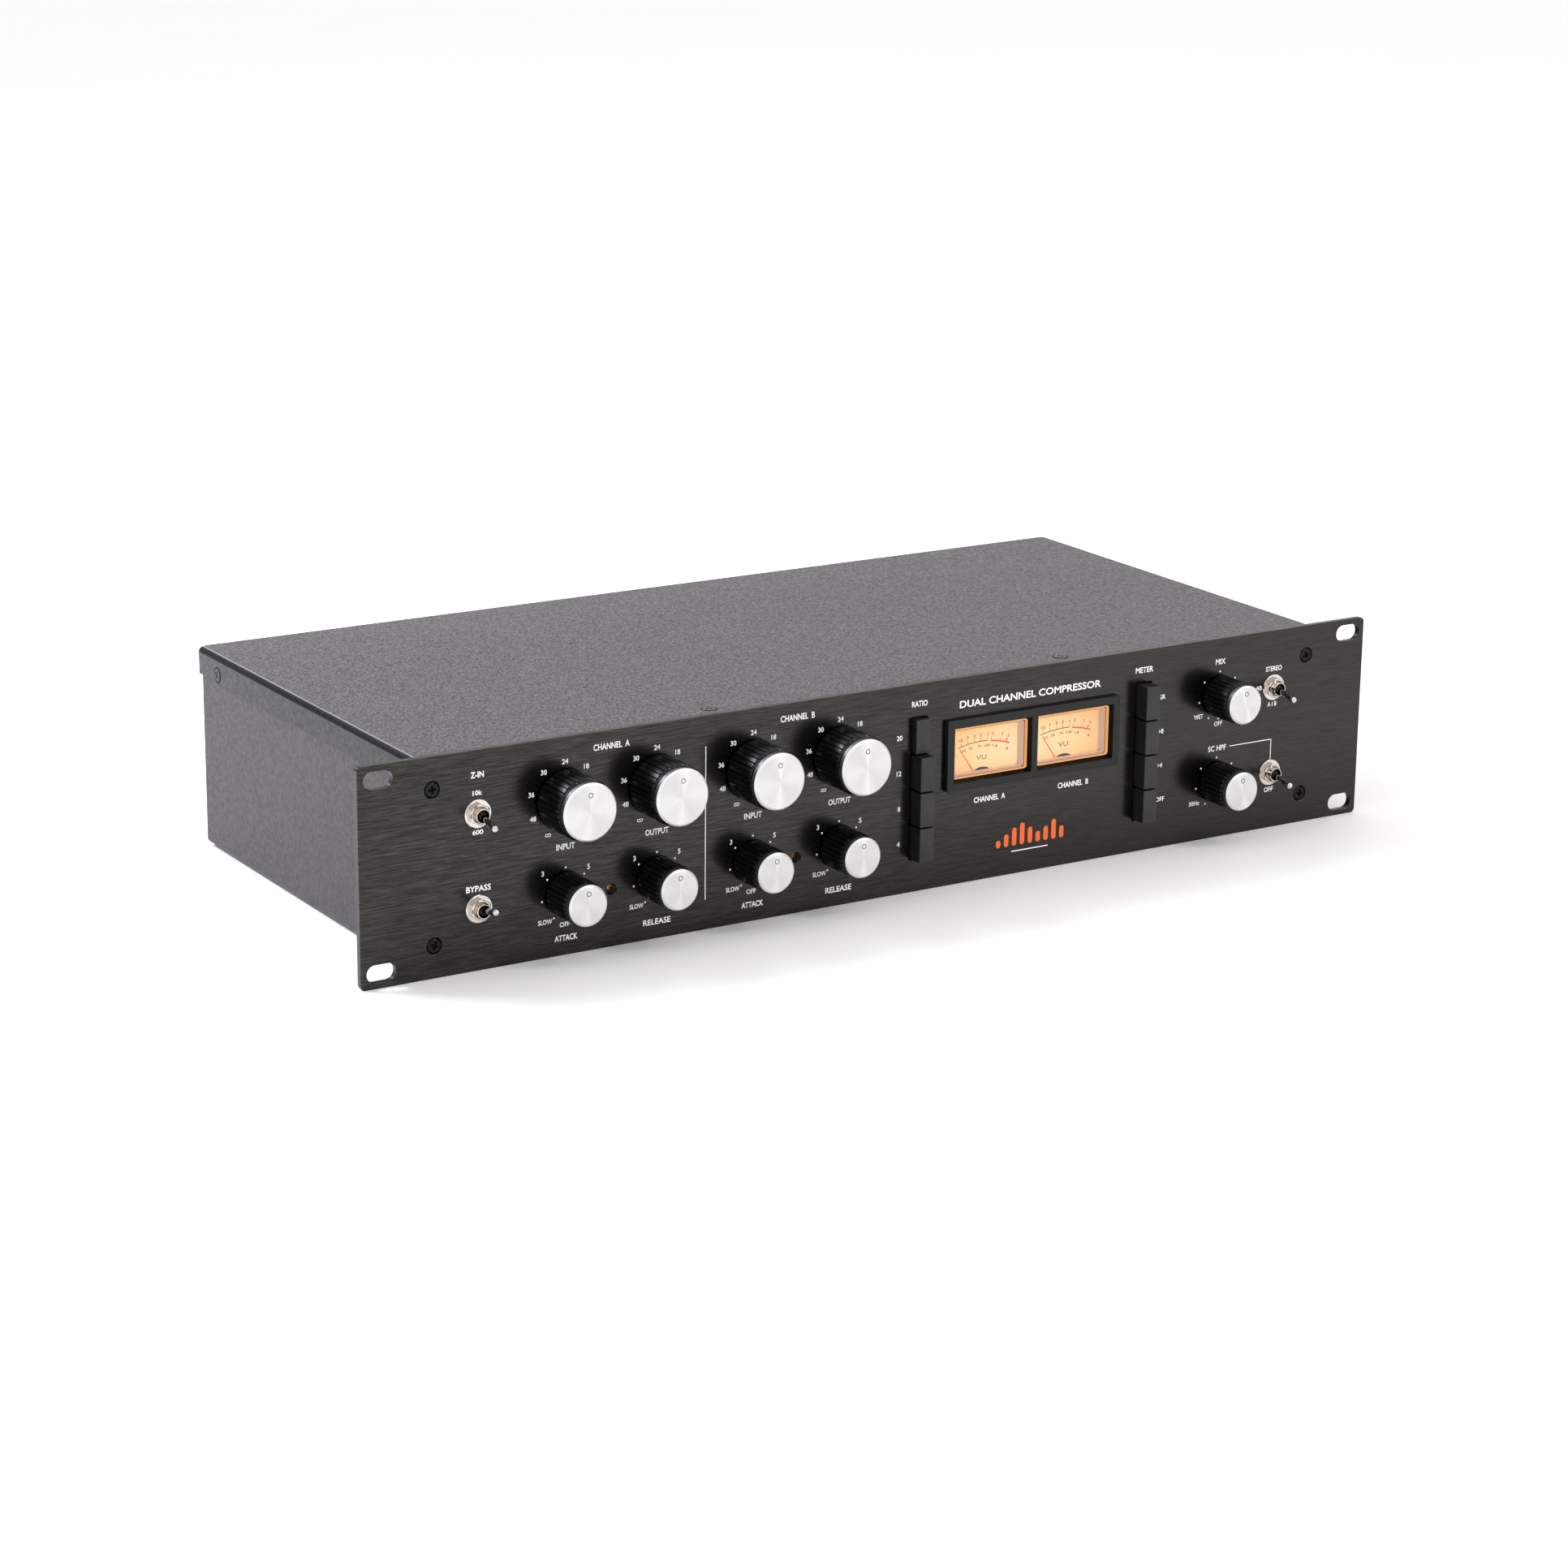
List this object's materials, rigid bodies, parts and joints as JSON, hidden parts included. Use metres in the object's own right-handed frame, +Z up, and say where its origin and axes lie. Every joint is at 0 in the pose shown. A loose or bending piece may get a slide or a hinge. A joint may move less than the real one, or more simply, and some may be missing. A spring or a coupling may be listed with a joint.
{
  "type": "rack compressor",
  "caption": "Two-channel rack compressor: black brushed 19 inch panel with silver-capped knobs, toggles, button banks and twin meters on a powder-coated steel case.",
  "frame": {"origin": "centre of the four rack slots, on the rear (mounting) face of the front panel", "axes": "+X right along the panel as seen from the front, +Y into the case, +Z up"},
  "size_m": [0.4826, 0.2286, 0.0882],
  "materials": {
    "panel": "black anodised, brushed along X",
    "case_paint": "fine textured powder coat",
    "black_screw": "black oxide",
    "bezel": "matte black moulding",
    "meter_case": "black moulding",
    "dial": "printed, lit from behind",
    "lens": "clear polished",
    "needle": "red paint",
    "pot_metal": "plated",
    "nickel": "bright nickel",
    "switch_plastic": "black moulding",
    "trimmer_blue": "blue moulding",
    "brass": "turned",
    "board": "solder mask",
    "component": "sleeved",
    "lamination": "laminated",
    "winding": "tape wound",
    "connector": "black moulding",
    "zinc_screw": "zinc",
    "rocker": "gloss moulding",
    "button": "matte moulding",
    "knob_skirt": "satin moulding",
    "spun_aluminium": "spun face, bright edge"
  },
  "bodies": {
    "case": {"front_panel": "panel", "chassis_tray": "case_paint", "rear_wall": "case_paint", "top_cover": "case_paint", "case_screws": "black_screw", "meter_bezel": "bezel", "meter_bodies": "meter_case", "meter_dials": "dial", "meter_lenses": "lens", "potentiometers": "pot_metal", "toggle_switches": "nickel", "toggle_nuts": "nickel", "button_switch_banks": "switch_plastic", "trimmer_bodies": "trimmer_blue", "circuit_boards": "board", "board_components": "component", "audio_transformers": "lamination", "mains_transformer": "winding", "xlr_inputs": "connector", "xlr_outputs": "connector", "connector_screws": "zinc_screw", "jack_sockets": "connector", "power_inlet": "connector"},
    "knob_input_a": {"knob_input_a": "knob_skirt", "cap_input_a": "spun_aluminium"},
    "knob_output_a": {"knob_output_a": "knob_skirt", "cap_output_a": "spun_aluminium"},
    "knob_input_b": {"knob_input_b": "knob_skirt", "cap_input_b": "spun_aluminium"},
    "knob_output_b": {"knob_output_b": "knob_skirt", "cap_output_b": "spun_aluminium"},
    "knob_attack_a": {"knob_attack_a": "knob_skirt", "cap_attack_a": "spun_aluminium"},
    "knob_release_a": {"knob_release_a": "knob_skirt", "cap_release_a": "spun_aluminium"},
    "knob_attack_b": {"knob_attack_b": "knob_skirt", "cap_attack_b": "spun_aluminium"},
    "knob_release_b": {"knob_release_b": "knob_skirt", "cap_release_b": "spun_aluminium"},
    "knob_mix": {"knob_mix": "knob_skirt", "cap_mix": "spun_aluminium"},
    "knob_sidechain": {"knob_sidechain": "knob_skirt", "cap_sidechain": "spun_aluminium"},
    "lever_input_pad": {"lever_input_pad": "nickel"},
    "lever_bypass": {"lever_bypass": "nickel"},
    "lever_stereo": {"lever_stereo": "nickel"},
    "lever_filter": {"lever_filter": "nickel"},
    "button_ratio_1": {"button_ratio_1": "button"},
    "button_ratio_2": {"button_ratio_2": "button"},
    "button_ratio_3": {"button_ratio_3": "button"},
    "button_ratio_4": {"button_ratio_4": "button"},
    "button_meter_1": {"button_meter_1": "button"},
    "button_meter_2": {"button_meter_2": "button"},
    "button_meter_3": {"button_meter_3": "button"},
    "button_meter_4": {"button_meter_4": "button"},
    "needle_a": {"needle_a": "needle"},
    "needle_b": {"needle_b": "needle"},
    "trim_screw_a": {"trim_screw_a": "brass"},
    "trim_screw_b": {"trim_screw_b": "brass"},
    "power_rocker": {"power_rocker": "rocker"}
  },
  "joints": [
    {"name": "turn_input_a", "type": "hinge", "parent": "case", "child": "knob_input_a", "pos_m": [-0.15305, -0.0036, 0.019], "axis": [0, 1, 0], "range_deg": [-150, 150]},
    {"name": "turn_output_a", "type": "hinge", "parent": "case", "child": "knob_output_a", "pos_m": [-0.11235, -0.0036, 0.019], "axis": [0, 1, 0], "range_deg": [-150, 150]},
    {"name": "turn_input_b", "type": "hinge", "parent": "case", "child": "knob_input_b", "pos_m": [-0.06835, -0.0036, 0.019], "axis": [0, 1, 0], "range_deg": [-150, 150]},
    {"name": "turn_output_b", "type": "hinge", "parent": "case", "child": "knob_output_b", "pos_m": [-0.02765, -0.0036, 0.019], "axis": [0, 1, 0], "range_deg": [-150, 150]},
    {"name": "turn_attack_a", "type": "hinge", "parent": "case", "child": "knob_attack_a", "pos_m": [-0.15305, -0.0036, -0.019], "axis": [0, 1, 0], "range_deg": [-180, 150]},
    {"name": "turn_release_a", "type": "hinge", "parent": "case", "child": "knob_release_a", "pos_m": [-0.11235, -0.0036, -0.019], "axis": [0, 1, 0], "range_deg": [-150, 150]},
    {"name": "turn_attack_b", "type": "hinge", "parent": "case", "child": "knob_attack_b", "pos_m": [-0.06835, -0.0036, -0.019], "axis": [0, 1, 0], "range_deg": [-180, 150]},
    {"name": "turn_release_b", "type": "hinge", "parent": "case", "child": "knob_release_b", "pos_m": [-0.02765, -0.0036, -0.019], "axis": [0, 1, 0], "range_deg": [-150, 150]},
    {"name": "turn_mix", "type": "hinge", "parent": "case", "child": "knob_mix", "pos_m": [0.1635, -0.0036, 0.019], "axis": [0, 1, 0], "range_deg": [-180, 150]},
    {"name": "turn_sidechain", "type": "hinge", "parent": "case", "child": "knob_sidechain", "pos_m": [0.1635, -0.0036, -0.019], "axis": [0, 1, 0], "range_deg": [-150, 150]},
    {"name": "flip_input_pad", "type": "hinge", "parent": "case", "child": "lever_input_pad", "pos_m": [-0.191, -0.006, 0.019], "axis": [1, 0, 0], "range_deg": [-25, 0]},
    {"name": "flip_bypass", "type": "hinge", "parent": "case", "child": "lever_bypass", "pos_m": [-0.191, -0.006, -0.019], "axis": [1, 0, 0], "range_deg": [0, 25]},
    {"name": "flip_stereo", "type": "hinge", "parent": "case", "child": "lever_stereo", "pos_m": [0.1925, -0.006, 0.019], "axis": [1, 0, 0], "range_deg": [-25, 0]},
    {"name": "flip_filter", "type": "hinge", "parent": "case", "child": "lever_filter", "pos_m": [0.1925, -0.006, -0.019], "axis": [1, 0, 0], "range_deg": [-25, 0]},
    {"name": "press_ratio_1", "type": "slide", "parent": "case", "child": "button_ratio_1", "axis": [0, 1, 0], "range_m": [-0.004, 0]},
    {"name": "press_ratio_2", "type": "slide", "parent": "case", "child": "button_ratio_2", "axis": [0, 1, 0], "range_m": [0, 0.004]},
    {"name": "press_ratio_3", "type": "slide", "parent": "case", "child": "button_ratio_3", "axis": [0, 1, 0], "range_m": [0, 0.004]},
    {"name": "press_ratio_4", "type": "slide", "parent": "case", "child": "button_ratio_4", "axis": [0, 1, 0], "range_m": [0, 0.004]},
    {"name": "press_meter_1", "type": "slide", "parent": "case", "child": "button_meter_1", "axis": [0, 1, 0], "range_m": [0, 0.004]},
    {"name": "press_meter_2", "type": "slide", "parent": "case", "child": "button_meter_2", "axis": [0, 1, 0], "range_m": [0, 0.004]},
    {"name": "press_meter_3", "type": "slide", "parent": "case", "child": "button_meter_3", "axis": [0, 1, 0], "range_m": [0, 0.004]},
    {"name": "press_meter_4", "type": "slide", "parent": "case", "child": "button_meter_4", "axis": [0, 1, 0], "range_m": [0, 0.004]},
    {"name": "swing_needle_a", "type": "hinge", "parent": "case", "child": "needle_a", "pos_m": [0.0459, 0.0023, -0.0058], "axis": [0, 1, 0], "range_deg": [0, 69], "stiffness_Nm_per_rad": 0.00005, "springref_deg": -11.46},
    {"name": "swing_needle_b", "type": "hinge", "parent": "case", "child": "needle_b", "pos_m": [0.0873, 0.0023, -0.0058], "axis": [0, 1, 0], "range_deg": [0, 69], "stiffness_Nm_per_rad": 0.00005, "springref_deg": -11.46},
    {"name": "turn_trim_a", "type": "hinge", "parent": "case", "child": "trim_screw_a", "pos_m": [-0.1319, 0.0004, -0.0205], "axis": [0, 1, 0], "continuous": true},
    {"name": "turn_trim_b", "type": "hinge", "parent": "case", "child": "trim_screw_b", "pos_m": [-0.0472, 0.0004, -0.0205], "axis": [0, 1, 0], "continuous": true},
    {"name": "rock_power", "type": "hinge", "parent": "case", "child": "power_rocker", "pos_m": [-0.148, 0.201, 0], "axis": [1, 0, 0], "range_deg": [-18, 0]}
  ]
}
